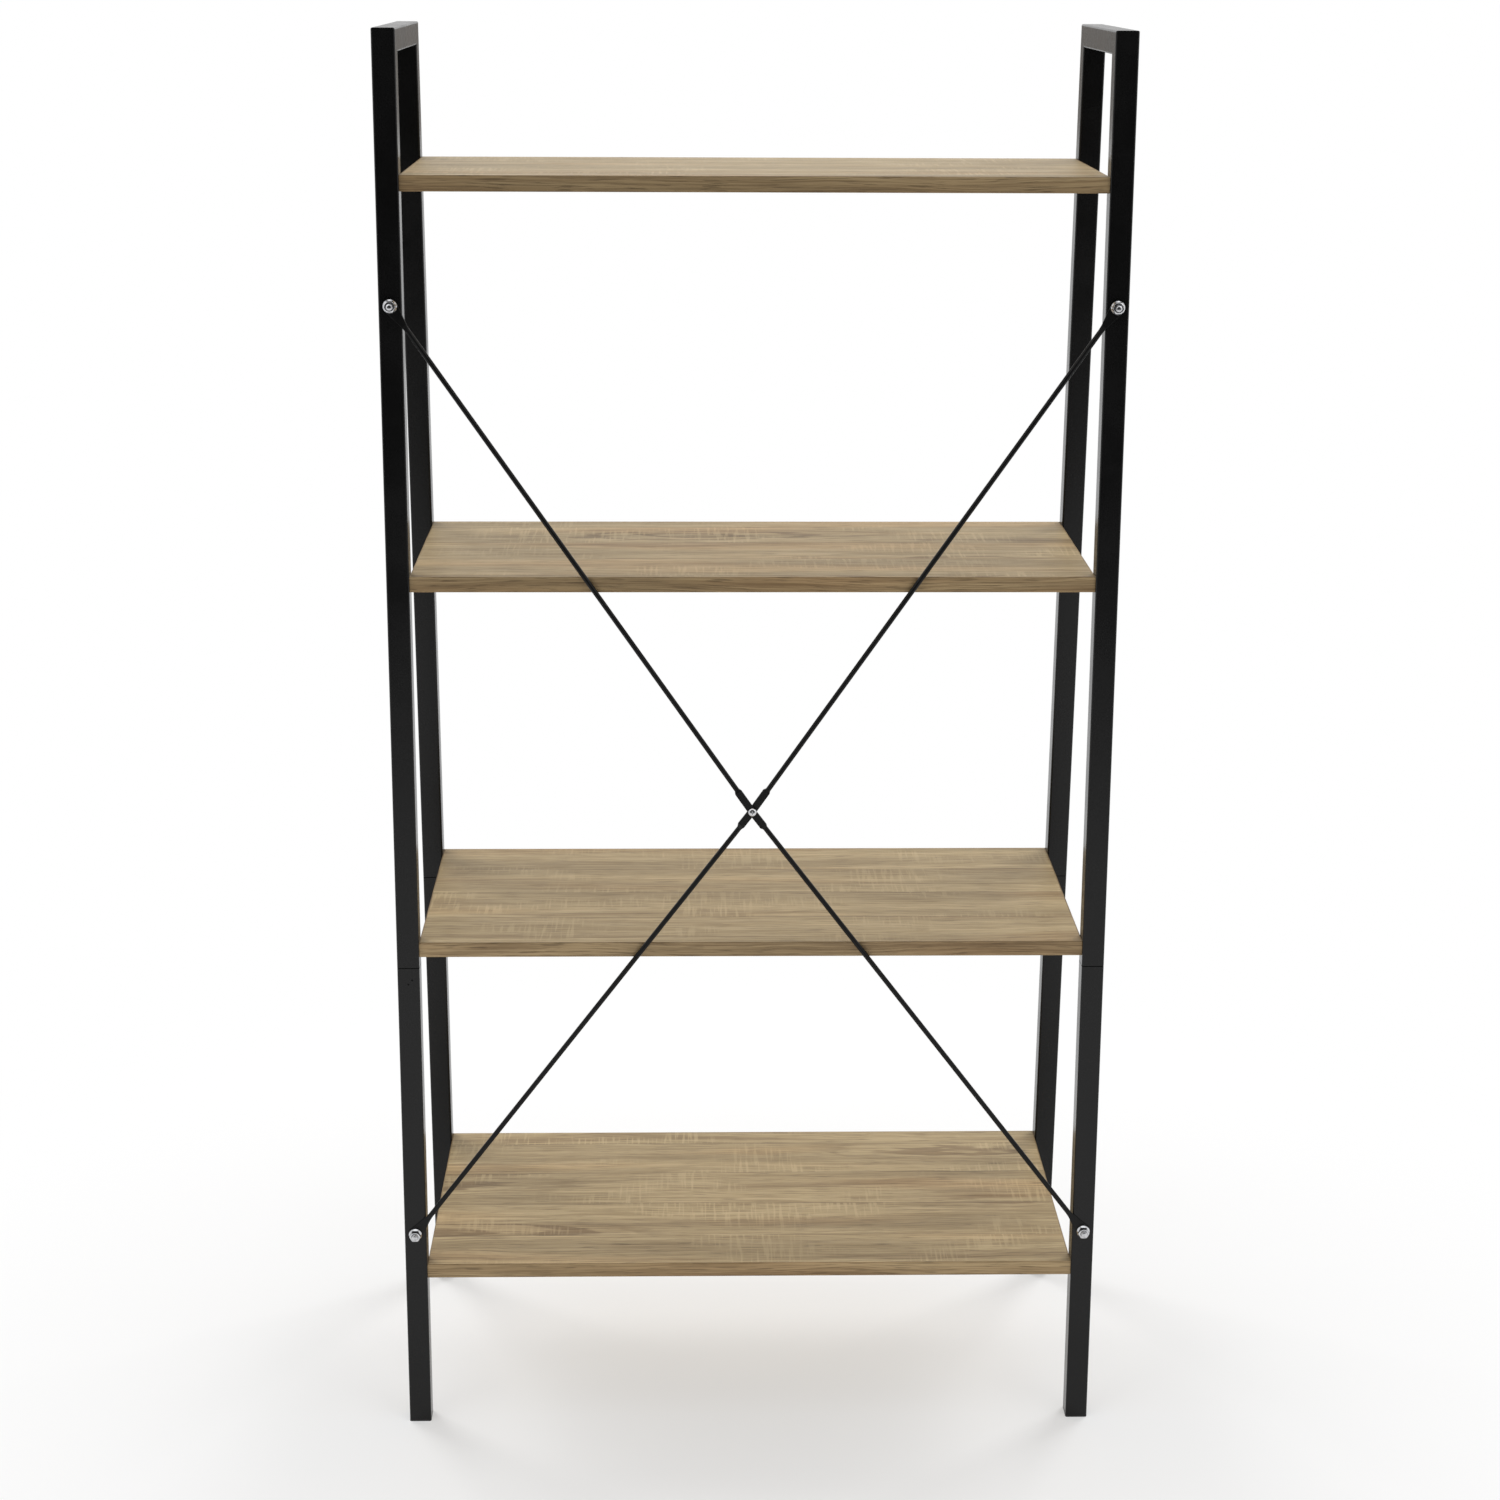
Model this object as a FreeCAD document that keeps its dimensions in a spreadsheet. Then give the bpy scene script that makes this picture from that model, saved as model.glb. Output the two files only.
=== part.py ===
import FreeCAD, Part
import os
import re
import Sketcher

# A ladder-style shelving unit: two side frames of square tube with upright rear posts and leaning front
# posts, four boards screwed between them, and a crossed pair of flattened rods across the back.
# Millimetres. +Z is up, the front is towards -Y, and left and right are as seen from the front. The
# origin is on the floor, at the centre of the bounding box.

SIZES = [
    ("overall_width", 700, "over the outer faces of the side frames"),
    ("overall_height", 1400, "floor to the top of the rails"),
    ("base_depth", 350, "rear face to front face of the posts, on the floor"),
    ("top_depth", 235, "rear face to front face of the posts, at the top"),
    ("top_board_drop", 132, "top of the rails down to the top board"),
    ("top_board_height", "=overall_height - top_board_drop", "upper face of the top board"),
    ("second_board_height", 890, "upper face of the second board"),
    ("third_board_height", 521, "upper face of the third board"),
    ("bottom_board_height", 175, "upper face of the bottom board"),
    ("tube_side", 22, "square tube, across flats"),
    ("tube_wall", 1.2, "tube wall"),
    ("tube_corner", 1.8, "outer corner radius of the tube"),
    ("seam_drop", 26, "upper face of the third board down to the seam"),
    ("seam_height", "=third_board_height - seam_drop", "top of the lower posts"),
    ("seam_gap", 0.8, "fine gap between lower and upper posts"),
    ("sleeve_rise", 45, "sleeve above the seam"),
    ("sleeve_drop", 65, "sleeve below the seam"),
    ("sleeve_wall", 1.2, "sleeve wall"),
    ("sleeve_gap", 0.1, "clearance of the sleeve in the tube, each side"),
    ("foot_flange", 2, "foot cap below the tube"),
    ("foot_bevel", 1.2, "bevelled corners of the foot cap"),
    ("foot_plug", 18, "foot plug inside the tube"),
    ("foot_wall", 2, "wall of the foot plug"),
    ("foot_gap", 0.1, "clearance of the foot plug, each side"),
    ("board_thickness", 15, "shelf board"),
    ("board_setback", 3, "board's rear edge ahead of the posts' rear face"),
    ("front_setback", 1, "board's front edge behind the posts' front face"),
    ("band_thickness", 1, "edge band"),
    ("band_bevel", 0.7, "bevel along the edge band"),
    ("screw_shank", 5, "shelf screw shank, across flats in place of its thread"),
    ("screw_length", 36, "shelf screw under its head"),
    ("screw_head", 8, "shelf screw head, across flats"),
    ("screw_head_height", 3.5, "shelf screw head"),
    ("screw_play", 0.4, "hole over the shelf screw's shank"),
    ("screw_spare", 2, "board hole past the screw's tip"),
    ("access_play", 2.8, "access hole over the corners of the shelf screw's head"),
    ("brace_top_drop", 120, "upper face of the top board down to the upper brace bolts"),
    ("brace_top_height", "=top_board_height - brace_top_drop", "upper brace bolts"),
    ("brace_cross_height", 657, "where the rods cross"),
    ("brace_bottom_rise", 35, "upper face of the bottom board up to the lower brace bolts"),
    ("brace_bottom_height", "=bottom_board_height + brace_bottom_rise", "lower brace bolts"),
    ("rod_diameter", 5, "brace rod"),
    ("lug_width", 14, "flattened end of a rod, across"),
    ("lug_thickness", 1.5, "flattened end of a rod"),
    ("lug_length", 1, "bolt to where the flattened end starts to narrow"),
    ("neck_width", 5.5, "narrow end of the flattened part"),
    ("neck_length", 22, "bolt to the narrow end of the flattened part"),
    ("neck_taper", 6, "from there to the round rod"),
    ("flat_bevel", 0.4, "bevel along the rods' flats"),
    ("centre_width", 7.4, "flat where the rods cross, across"),
    ("centre_thickness", 2.6, "flat where the rods cross"),
    ("centre_rise", 24, "that flat, up the rod"),
    ("centre_drop", 18, "that flat, down the rod"),
    ("centre_taper", 3, "from that flat to the round rod"),
    ("bolt_shank", 6, "brace bolt"),
    ("bolt_play", 0.4, "holes over the brace bolt"),
    ("bolt_head", 10, "brace bolt head, across flats"),
    ("bolt_head_height", 4, "brace bolt head"),
    ("bolt_end", 3, "brace bolt past its nut"),
    ("nut_across", 10, "brace nut, across flats"),
    ("nut_height", 6, "brace nut"),
    ("nut_flange", 13.4, "brace nut flange, across"),
    ("nut_flange_rise", 2.6, "brace nut flange, from its rim to the flats"),
    ("thread_play", 0.2, "nuts over their screws"),
    ("pin_shank", 4, "centre screw"),
    ("pin_play", 0.3, "holes over the centre screw"),
    ("pin_head", 8.4, "centre screw head, across"),
    ("pin_head_height", 2.6, "centre screw head"),
    ("pin_head_bevel", 1.2, "bevel of the centre screw head"),
    ("pin_end", 1, "centre screw past its nut"),
    ("pin_nut_across", 7, "centre nut, across flats"),
    ("pin_nut_height", 3.2, "centre nut"),
]
ALIASES = {alias for alias, size, note in SIZES}
SIDES = {"left": -1, "right": 1}
BOARDS = ["top", "second", "third", "bottom"]

# Formulas in the sheet's sizes. Forward runs from the posts' rear face towards the front.
REAR_FACE = "((base_depth - lug_thickness - nut_height - bolt_end) / 2)"
LEAN = "((base_depth - top_depth) / overall_height)"
LEAN_COS = f"cos(atan({LEAN}))"
LEAN_SIN = f"sin(atan({LEAN}))"
POST_X = "((overall_width - tube_side) / 2)"
BOARD_SPAN = "(overall_width - 2 * tube_side)"
CORE_SPAN = "(overall_width - 2 * tube_side - 2 * band_thickness)"
SCREW_HOLE = "(screw_shank + screw_play)"
ACCESS_HOLE = "(screw_head / cos(30) + access_play)"
BOLT_HOLE = "(bolt_shank + bolt_play)"
ROD_LIFT = "(lug_thickness / 2)"
ROD_FLATS = "(rod_diameter * cos(22.5))"
ROD_SECTION = (ROD_FLATS, ROD_FLATS, f"({ROD_FLATS} / 2 * (1 - tan(22.5)))")

os.makedirs("parts", exist_ok=True)
doc = FreeCAD.newDocument("shelving_unit")
sheet = doc.addObject("Spreadsheet::Sheet", "Sizes")
for row, (alias, size, note) in enumerate(SIZES, start=1):
    sheet.set(f"A{row}", note)
    sheet.set(f"B{row}", str(size))
    sheet.setAlias(f"B{row}", alias)
doc.recompute()

V = FreeCAD.Vector


def in_sheet(formula):
    """Point every size that a formula names at its cell."""
    return re.sub(r"[a-z_]+", lambda word: f"Sizes.{word[0]}" if word[0] in ALIASES else word[0], formula)


def value(formula):
    """The number that a formula gives now."""
    result = sheet.evalExpression(in_sheet(formula))
    return float(getattr(result, "Value", result))


# Sketches, each tied to the sheet point by point

def new_body(label):
    body = doc.addObject("PartDesign::Body", label)
    body.Label = label
    return body


def new_sketch(body, plane):
    sketch = body.newObject("Sketcher::SketchObject", f"{body.Name}_sketch")
    support = [item for item in body.Origin.OriginFeatures if item.Role == f"{plane}_Plane"][0]
    sketch.AttachmentSupport = [(support, "")]
    sketch.MapMode = "FlatFace"
    return sketch


def bind(sketch, constraint, name, formula):
    index = sketch.addConstraint(constraint)
    sketch.renameConstraint(index, name)
    sketch.setExpression(f"Constraints.{name}", in_sheet(formula))


def bind_point(sketch, edge, position, name, point):
    for kind, formula in zip(("DistanceX", "DistanceY"), point):
        constraint = Sketcher.Constraint(kind, -1, 1, edge, position, value(formula))
        bind(sketch, constraint, f"{name}_{kind}", formula)


def draw_loop(sketch, points):
    first = sketch.GeometryCount
    corners = [V(value(x), value(y), 0) for x, y in points]
    for start, end in zip(corners, corners[1:] + corners[:1]):
        sketch.addGeometry(Part.LineSegment(start, end))
    for step, point in enumerate(points):
        edge = first + step
        following = first + (step + 1) % len(points)
        sketch.addConstraint(Sketcher.Constraint("Coincident", edge, 2, following, 1))
        bind_point(sketch, edge, 1, f"p{edge}", point)


def polygons(body, plane, outlines):
    sketch = new_sketch(body, plane)
    for points in outlines:
        draw_loop(sketch, points)
    return sketch


def hexagon(across, centre, first_corner):
    reach = f"({across} / sqrt(3))"
    return [(f"({centre[0]} + {reach} * cos({angle}))", f"({centre[1]} + {reach} * sin({angle}))")
            for angle in range(first_corner, first_corner + 360, 60)]


def circles(body, plane, centres, diameter):
    sketch = new_sketch(body, plane)
    for index, (x, y) in enumerate(centres):
        sketch.addGeometry(Part.Circle(V(value(x), value(y), 0), V(0, 0, 1), value(diameter) / 2))
        bind_point(sketch, index, 3, f"c{index}", (x, y))
        bind(sketch, Sketcher.Constraint("Diameter", index, value(diameter)), f"d{index}", diameter)
    return sketch


# Features

def extrude(body, kind, sketch, length, side_type="Symmetric", reverse=False):
    """A pad or pocket, which has to add or take away material as its kind says."""
    before = body.Tip.Shape.Volume if body.Tip else 0
    feature = body.newObject(f"PartDesign::{kind}", f"{body.Name}_{kind.lower()}")
    feature.Profile = sketch
    feature.SideType = side_type
    feature.Reversed = reverse
    feature.setExpression("Length", in_sheet(length))
    doc.recompute()
    if (feature.Shape.Volume > before) != (kind == "Pad"):
        raise RuntimeError(f"{feature.Label} leaves the volume as it was")
    return feature


def turn(body, points):
    """A round piece about its own Z axis."""
    sketch = polygons(body, "XZ", [points])
    feature = body.newObject("PartDesign::Revolution", f"{body.Name}_turned")
    feature.Profile = sketch
    feature.ReferenceAxis = (sketch, ["V_Axis"])
    feature.Angle = 360
    doc.recompute()


def dress_along(body, kind, direction, size, keep=lambda edge: True):
    """Fillet or chamfer the straight edges of the last feature that run in one direction."""
    base = body.Tip
    names = []
    for index, edge in enumerate(base.Shape.Edges, start=1):
        run = edge.Vertexes[-1].Point - edge.Vertexes[0].Point
        if run.Length > 0 and run.cross(direction).Length < 1e-6 * run.Length and keep(edge):
            names.append(f"Edge{index}")
    feature = body.newObject(f"PartDesign::{kind}", f"{body.Name}_{kind.lower()}")
    feature.Base = (base, names)
    feature.setExpression({"Fillet": "Radius", "Chamfer": "Size"}[kind], in_sheet(size))
    doc.recompute()


# Side view: every tube, sleeve, foot and board is a side profile carried across the unit

def place_in_side_view(body, across):
    body.Placement = FreeCAD.Placement(V(0, 0, 0), FreeCAD.Rotation(V(0, 0, 1), 180))
    body.setExpression("Placement.Base.x", in_sheet(across))
    body.setExpression("Placement.Base.y", in_sheet(REAR_FACE))


def post_x(side):
    return f"({SIDES[side]} * {POST_X})"


def front_run(height):
    return f"(base_depth - {LEAN} * ({height}))"


def on_post(post, inset, height):
    """A point at a height, inset from a post's outer face."""
    if post == "rear":
        return (inset, height)
    return (f"({front_run(height)} - ({inset}) / {LEAN_COS})", height)


def on_cut(post, inset, height):
    """The same, on a square cut across the post at that height."""
    if post == "rear":
        return on_post(post, inset, height)
    return on_post(post, inset, f"({height} + (tube_side / 2 - ({inset})) * {LEAN_SIN})")


def post_band(post, near, far, low, high, low_end=on_cut, high_end=on_cut):
    """The outline of a stretch of post between two insets and two heights."""
    return [low_end(post, near, low), high_end(post, near, high),
            high_end(post, far, high), low_end(post, far, low)]


def side_prism(label, across, outline, width, corner=None, dressing="Fillet"):
    body = new_body(label)
    place_in_side_view(body, across)
    extrude(body, "Pad", polygons(body, "YZ", [outline]), width)
    if corner:
        run = [value(end) - value(start) for start, end in zip(outline[0], outline[1])]
        dress_along(body, dressing, V(0, run[0], run[1]), corner)
    return body


def hollow(body, outline, width):
    extrude(body, "Pocket", polygons(body, "YZ", [outline]), width)


def screw_height(board):
    return f"({board}_board_height - board_thickness / 2)"


def screw_point(post, board):
    return on_post(post, "(tube_side / 2)", screw_height(board))


def screw_holes(body, points):
    return polygons(body, "YZ", [hexagon(SCREW_HOLE, point, 0) for point in points])


def cut_wall(body, sketch, side, wall):
    """Cut through one wall of a tube, from its middle plane."""
    reverse = (side == "left") == (wall == "outer")
    extrude(body, "Pocket", sketch, "tube_side", "One side", reverse)


def drill_for_screws(body, side, post, boards):
    """An access hole in the outer wall and a screw hole in the inner wall for each board."""
    points = [screw_point(post, board) for board in boards]
    cut_wall(body, circles(body, "YZ", points, ACCESS_HOLE), side, "outer")
    cut_wall(body, screw_holes(body, points), side, "inner")


def drill_for_bolt(body, height):
    extrude(body, "Pocket", circles(body, "XZ", [("0", height)], BOLT_HOLE), "4 * tube_side")


def make_posts(side, post):
    inner = "(tube_side - tube_wall)"
    bore_width = "(tube_side - 2 * tube_wall)"
    above = "(seam_height + seam_gap)"

    outline = [on_cut(post, "0", above), on_post(post, "0", "overall_height"),
               on_post(post, "tube_side", "(overall_height - tube_side)"), on_cut(post, "tube_side", above)]
    bore = post_band(post, "tube_wall", inner, "(seam_height - tube_side)", "(overall_height + tube_side)")
    upper = side_prism(f"{side}_upper_{post}_post", post_x(side), outline, "tube_side", "tube_corner")
    hollow(upper, bore, bore_width)
    drill_for_screws(upper, side, post, ["top", "second", "third"])

    outline = post_band(post, "0", "tube_side", "foot_flange", "seam_height", low_end=on_post)
    bore = post_band(post, "tube_wall", inner, "(0 - tube_side)", "(seam_height + tube_side)")
    lower = side_prism(f"{side}_lower_{post}_post", post_x(side), outline, "tube_side", "tube_corner")
    hollow(lower, bore, bore_width)
    drill_for_screws(lower, side, post, ["bottom"])

    if post == "rear":
        drill_for_bolt(upper, "brace_top_height")
        drill_for_bolt(lower, "brace_bottom_height")


def make_rail(side):
    under = "(overall_height - tube_side)"
    outline = [on_post("rear", "0", "overall_height"), on_post("front", "0", "overall_height"),
               on_post("front", "tube_side", under), on_post("rear", "tube_side", under)]
    rail = side_prism(f"{side}_top_rail", post_x(side), outline, "tube_side", "tube_corner")
    roof = "(overall_height - tube_wall)"
    floor = "(overall_height - tube_side + tube_wall)"
    past_front = "(top_depth + tube_side)"
    past_rear = "(0 - tube_side)"
    bore = [(past_rear, roof), (past_front, roof), (past_front, floor), (past_rear, floor)]
    hollow(rail, bore, "(tube_side - 2 * tube_wall)")


def make_sleeve(side, post):
    near = "(tube_wall + sleeve_gap)"
    core = "(tube_wall + sleeve_gap + sleeve_wall)"
    low = "(seam_height - sleeve_drop)"
    high = "(seam_height + sleeve_rise)"
    outline = post_band(post, near, f"(tube_side - {near})", low, high)
    bore = post_band(post, core, f"(tube_side - {core})", f"({low} - tube_side)", f"({high} + tube_side)")
    sleeve = side_prism(f"{side}_{post}_sleeve", post_x(side), outline, f"(tube_side - 2 * {near})")
    hollow(sleeve, bore, f"(tube_side - 2 * {core})")
    half = f"({ACCESS_HOLE} / 2)"
    notch = post_band(post, f"(tube_side / 2 - {half})", f"(tube_side / 2 + {half})",
                      f"({screw_height('third')} - {half})", f"({high} + tube_side)", on_post, on_post)
    cut_wall(sleeve, polygons(sleeve, "YZ", [notch]), side, "outer")
    cut_wall(sleeve, screw_holes(sleeve, [screw_point(post, "third")]), side, "inner")


def make_foot(side, post):
    near = "(tube_wall + foot_gap)"
    core = "(tube_wall + foot_gap + foot_wall)"
    high = "(foot_flange + foot_plug)"
    level = (on_post, on_post)
    outline = post_band(post, "0", "tube_side", "0", "foot_flange", *level)
    plug = post_band(post, near, f"(tube_side - {near})", "foot_flange", high, *level)
    well = post_band(post, core, f"(tube_side - {core})", "foot_flange", f"({high} + tube_side)", *level)
    foot = side_prism(f"{side}_{post}_foot", post_x(side), outline, "tube_side", "foot_bevel", "Chamfer")
    extrude(foot, "Pad", polygons(foot, "YZ", [plug]), f"(tube_side - 2 * {near})")
    hollow(foot, well, f"(tube_side - 2 * {core})")


# Boards with a strip of band on each edge

def make_board(board):
    upper = f"{board}_board_height"
    under = f"({board}_board_height - board_thickness)"
    rear = "board_setback"
    rear_core = "(board_setback + band_thickness)"
    front = f"({front_run(upper)} - front_setback)"
    front_core = f"({front} - band_thickness)"
    points = [screw_point(post, board) for post in ("rear", "front")]

    def strip(near, far):
        return [(near, under), (near, upper), (far, upper), (far, under)]

    core = side_prism(f"{board}_shelf_board", "0", strip(rear_core, front_core), CORE_SPAN)
    holes = screw_holes(core, points)
    holes.setExpression("AttachmentOffset.Base.z", in_sheet(f"{CORE_SPAN} / 2"))
    depth = "(screw_length + screw_spare - tube_wall - band_thickness)"
    pocket = extrude(core, "Pocket", holes, depth, "One side")
    mirror = core.newObject("PartDesign::Mirrored", f"{core.Name}_mirror")
    mirror.Originals = [pocket]
    mirror.MirrorPlane = ([item for item in core.Origin.OriginFeatures if item.Role == "YZ_Plane"][0], [""])
    core.Tip = mirror
    doc.recompute()

    strips = []
    for name, near, far, outer in (("rear", rear, rear_core, rear), ("front", front_core, front, front)):
        body = side_prism(f"{board}_{name}_band", "0", strip(near, far), BOARD_SPAN)
        edge_at = value(outer)
        dress_along(body, "Chamfer", V(1, 0, 0), "band_bevel",
                    keep=lambda edge: abs(edge.CenterOfMass.y - edge_at) < 1e-6)
        strips.append(body)
    for side, sign in SIDES.items():
        across = f"({sign} * ({CORE_SPAN} + band_thickness) / 2)"
        body = side_prism(f"{board}_{side}_band", across, strip(rear_core, front_core), "band_thickness")
        extrude(body, "Pocket", screw_holes(body, points), "4 * band_thickness")
        strips.append(body)
    bands = doc.addObject("Part::Compound", f"{board}_edge_bands")
    bands.Links = strips
    doc.recompute()


# Brace rods, drawn on the rear face with the crossing at the origin

def on_rear_face(body):
    axes = FreeCAD.Rotation(V(-1, 0, 0), V(0, 0, 1), V(0, 1, 0), "ZXY")
    body.Placement = FreeCAD.Placement(V(0, 0, 0), axes)
    body.setExpression("Placement.Base.y", in_sheet(REAR_FACE))
    body.setExpression("Placement.Base.z", in_sheet("brace_cross_height"))


def arm_sketch(body, arm, along, lift):
    """A sketch square across an arm, some way along it."""
    run, rise = arm
    length = f"sqrt(({run})^2 + ({rise})^2)"
    sketch = new_sketch(body, "YZ")
    slope = f"(90 deg - atan(({run}) / ({rise})))"
    sketch.AttachmentOffset = FreeCAD.Placement(V(0, 0, 0), FreeCAD.Rotation(V(0, 1, 0), value(slope)))
    sketch.setExpression("AttachmentOffset.Rotation.Angle", in_sheet(slope))
    sketch.setExpression("AttachmentOffset.Base.x", in_sheet(f"({along}) * ({rise}) / {length}"))
    sketch.setExpression("AttachmentOffset.Base.y", in_sheet(lift))
    sketch.setExpression("AttachmentOffset.Base.z", in_sheet(f"({along}) * ({run}) / {length}"))
    return sketch


def section(body, arm, along, lift, width, thickness, bevel):
    """An eight-sided section across an arm: a flat with bevelled edges, or a match for the round rod."""
    half_x = f"({width} / 2)"
    half_y = f"({thickness} / 2)"
    short_x = f"({half_x} - {bevel})"
    short_y = f"({half_y} - {bevel})"
    quarter = [(half_x, short_y), (short_x, half_y)]
    upper = quarter + [(f"(0 - {x})", y) for x, y in reversed(quarter)]
    lower = [(x, f"(0 - {y})") for x, y in reversed(upper)]
    sketch = arm_sketch(body, arm, along, lift)
    draw_loop(sketch, upper + lower)
    return sketch


def join_sections(body, sections):
    loft = body.newObject("PartDesign::AdditiveLoft", f"{body.Name}_flattened")
    loft.Profile = sections[0]
    loft.Sections = [(sketch, [""]) for sketch in sections[1:]]
    loft.Ruled = True
    doc.recompute()


def add_arm(body, arm, flat_length, flat_lift):
    """Half a rod: its flat at the crossing, the round rod, and the flattened end at the bolt."""
    run, rise = arm
    length = f"sqrt(({run})^2 + ({rise})^2)"
    inner = f"({flat_length} + centre_taper)"
    outer = f"({length} - neck_length - neck_taper)"
    flat = ("centre_width", "centre_thickness", "flat_bevel")
    neck = ("neck_width", "lug_thickness", "flat_bevel")
    lug = ("lug_width", "lug_thickness", "flat_bevel")
    join_sections(body, [
        section(body, arm, "(0 - centre_thickness)", flat_lift, *flat),
        section(body, arm, flat_length, flat_lift, *flat),
        section(body, arm, inner, ROD_LIFT, *ROD_SECTION)])

    middle = arm_sketch(body, arm, f"(({inner} + {outer}) / 2)", ROD_LIFT)
    middle.addGeometry(Part.Circle(V(0, 0, 0), V(0, 0, 1), value("rod_diameter") / 2))
    middle.addConstraint(Sketcher.Constraint("Coincident", 0, 3, -1, 1))
    bind(middle, Sketcher.Constraint("Diameter", 0, value("rod_diameter")), "across", "rod_diameter")
    extrude(body, "Pad", middle, f"({outer} - {inner})")

    join_sections(body, [
        section(body, arm, outer, ROD_LIFT, *ROD_SECTION),
        section(body, arm, f"({length} - neck_length)", ROD_LIFT, *neck),
        section(body, arm, f"({length} - lug_length)", ROD_LIFT, *lug),
        section(body, arm, length, ROD_LIFT, *lug)])


def make_rod(label, sign, flat_lift):
    """One rod from an upper bolt to the opposite lower bolt, bent slightly where the rods cross."""
    body = new_body(label)
    on_rear_face(body)
    upper = (f"({sign} * {POST_X})", "(brace_top_height - brace_cross_height)")
    lower = (f"({-sign} * {POST_X})", "(brace_bottom_height - brace_cross_height)")
    add_arm(body, upper, "centre_rise", flat_lift)
    add_arm(body, lower, "centre_drop", flat_lift)
    extrude(body, "Pad", circles(body, "XY", [upper, lower], "lug_width"), "lug_thickness", "One side")
    extrude(body, "Pocket", circles(body, "XY", [upper, lower], BOLT_HOLE), "4 * rod_diameter")
    extrude(body, "Pocket", circles(body, "XY", [("0", "0")], "(pin_shank + pin_play)"), "4 * rod_diameter")


# Fasteners, each along its own Z axis from the face it bears on

def add_hexagon(body, across, height, reverse=False):
    extrude(body, "Pad", polygons(body, "XY", [hexagon(across, ("0", "0"), 30)]), height, "One side", reverse)


def make_shelf_screw(label):
    body = new_body(label)
    add_hexagon(body, "screw_head", "screw_head_height", reverse=True)
    add_hexagon(body, "screw_shank", "screw_length")
    return body


def make_bolt(label):
    body = new_body(label)
    add_hexagon(body, "bolt_head", "bolt_head_height", reverse=True)
    length = "(tube_side + lug_thickness + nut_height + bolt_end)"
    extrude(body, "Pad", circles(body, "XY", [("0", "0")], "bolt_shank"), length, "One side")
    return body


def drill_nut(body, shank, height):
    bore = circles(body, "XY", [("0", "0")], f"({shank} + thread_play)")
    extrude(body, "Pocket", bore, f"4 * {height}")


def make_nut(label):
    body = new_body(label)
    add_hexagon(body, "nut_across", "nut_height")
    turn(body, [("0", "0"), ("(nut_flange / 2)", "0"), ("(nut_across / sqrt(3))", "nut_flange_rise"),
                ("0", "nut_flange_rise")])
    drill_nut(body, "bolt_shank", "nut_height")
    return body


def make_centre_screw(label):
    body = new_body(label)
    length = "(2 * centre_thickness + pin_nut_height + pin_end)"
    turn(body, [("0", "(0 - pin_head_height)"), ("(pin_head / 2 - pin_head_bevel)", "(0 - pin_head_height)"),
                ("(pin_head / 2)", "(pin_head_bevel - pin_head_height)"), ("(pin_head / 2)", "0"),
                ("(pin_shank / 2)", "0"), ("(pin_shank / 2)", length), ("0", length)])
    return body


def make_centre_nut(label):
    body = new_body(label)
    add_hexagon(body, "pin_nut_across", "pin_nut_height")
    drill_nut(body, "pin_shank", "pin_nut_height")
    return body


def make_group(label, template, spots):
    """Separate copies of one piece in one node: where each stands and which way it points."""
    copies = []
    for spot, direction in spots:
        copy = template.Shape.copy()
        copy.Placement = FreeCAD.Placement(spot, FreeCAD.Rotation(V(0, 0, 1), direction))
        copies.append(copy)
    group = doc.addObject("Part::Feature", label)
    group.Shape = Part.makeCompound(copies)


def point_along_depth(body, depth, direction):
    body.Placement = FreeCAD.Placement(V(0, 0, 0), FreeCAD.Rotation(V(0, 0, 1), direction))
    body.setExpression("Placement.Base.y", in_sheet(f"{REAR_FACE} + {depth}"))
    body.setExpression("Placement.Base.z", in_sheet("brace_cross_height"))


def shelf_screw_spots():
    spots = []
    for sign in SIDES.values():
        for board in BOARDS:
            seat = "overall_width / 2 - tube_side + tube_wall"
            if board == "third":
                seat = f"{seat} + sleeve_gap + sleeve_wall"
            for post in ("rear", "front"):
                forward, height = screw_point(post, board)
                spot = V(sign * value(seat), value(f"{REAR_FACE} - {forward}"), value(height))
                spots.append((spot, V(-sign, 0, 0)))
    return spots


def brace_spots(depth):
    heights = [value("brace_top_height"), value("brace_bottom_height")]
    return [(V(sign * value(POST_X), value(f"{REAR_FACE} + {depth}"), height), V(0, 1, 0))
            for sign in SIDES.values() for height in heights]


for side_name in SIDES:
    make_rail(side_name)
    for post_name in ("rear", "front"):
        make_posts(side_name, post_name)
        make_sleeve(side_name, post_name)
        make_foot(side_name, post_name)
for board_name in BOARDS:
    make_board(board_name)
make_rod("brace_rod_inner", 1, f"({ROD_LIFT} - centre_thickness / 2)")
make_rod("brace_rod_outer", -1, f"({ROD_LIFT} + centre_thickness / 2)")

screw = make_shelf_screw("shelf_screw")
bolt = make_bolt("brace_bolt")
nut = make_nut("brace_nut")
centre_screw = make_centre_screw("brace_centre_screw")
centre_nut = make_centre_nut("brace_centre_nut")
point_along_depth(centre_screw, f"({ROD_LIFT} + centre_thickness)", V(0, -1, 0))
point_along_depth(centre_nut, f"({ROD_LIFT} - centre_thickness)", V(0, -1, 0))
doc.recompute()

make_group("shelf_screws", screw, shelf_screw_spots())
make_group("brace_bolts", bolt, brace_spots("(0 - tube_side)"))
make_group("brace_nuts", nut, brace_spots("lug_thickness"))
doc.recompute()

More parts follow.
